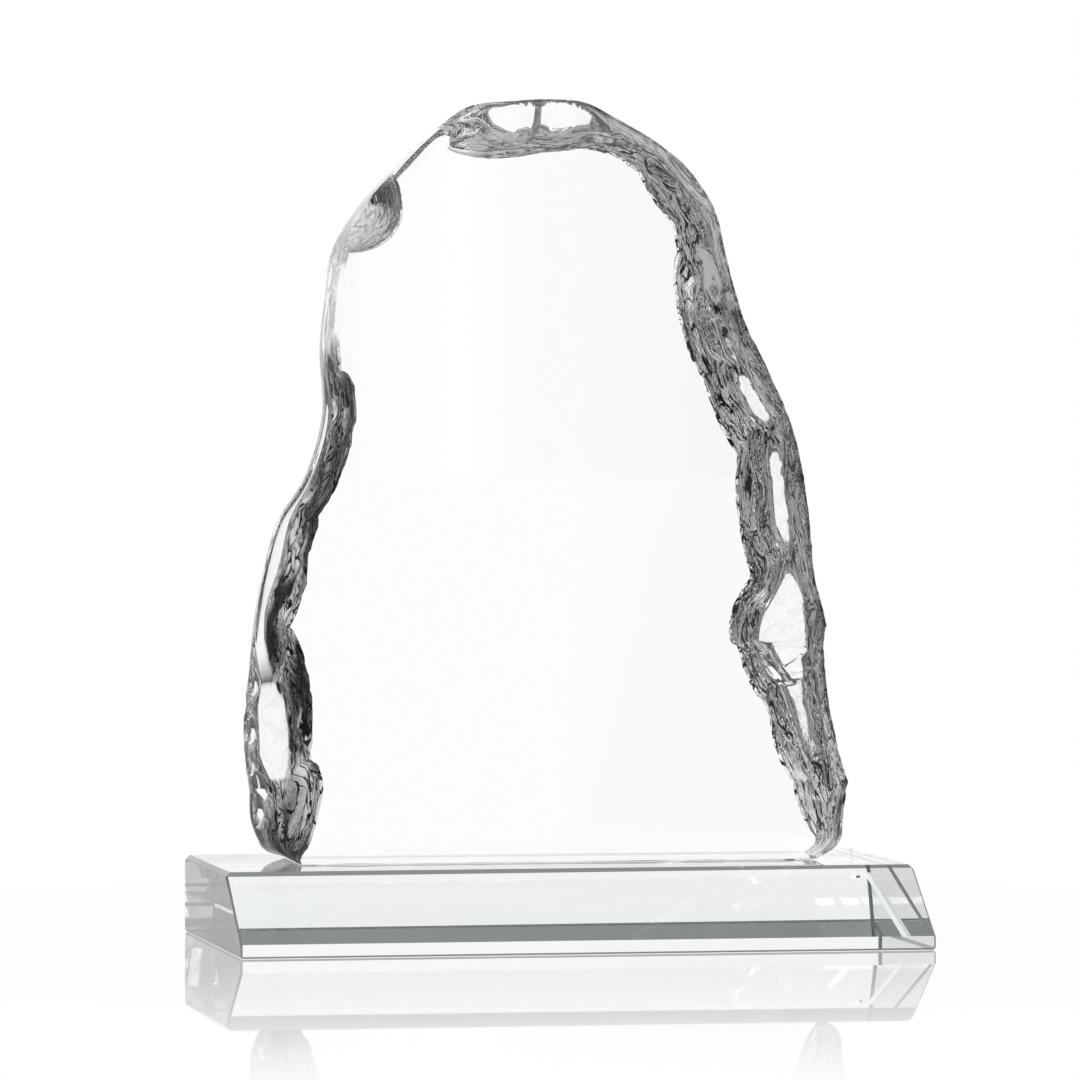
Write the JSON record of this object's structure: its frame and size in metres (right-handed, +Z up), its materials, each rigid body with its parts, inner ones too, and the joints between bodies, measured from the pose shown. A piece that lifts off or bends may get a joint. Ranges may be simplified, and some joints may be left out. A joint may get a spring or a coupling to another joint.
{
  "type": "iceberg award",
  "caption": "Clear crystal award: an upright slab with polished faces and a fractured, iceberg-like rim, bonded on a crystal base block with a sloped front.",
  "frame": {"origin": "middle of the base block's underside, on the surface that the award stands on", "axes": "+Z up; +X along the base, to the right of someone facing the front; -Y towards that person"},
  "size_m": [0.178, 0.1, 0.2161],
  "materials": {
    "base_crystal": "clear optical crystal, ground flat and polished, edges broken",
    "cured_adhesive": "water-clear cured adhesive film",
    "slab_crystal": "clear optical crystal, polished front and back, glossy fractured rim"
  },
  "bodies": {
    "root": {"base_block": "base_crystal", "bond_film": "cured_adhesive", "iceberg_slab": "slab_crystal"}
  },
  "joints": []
}
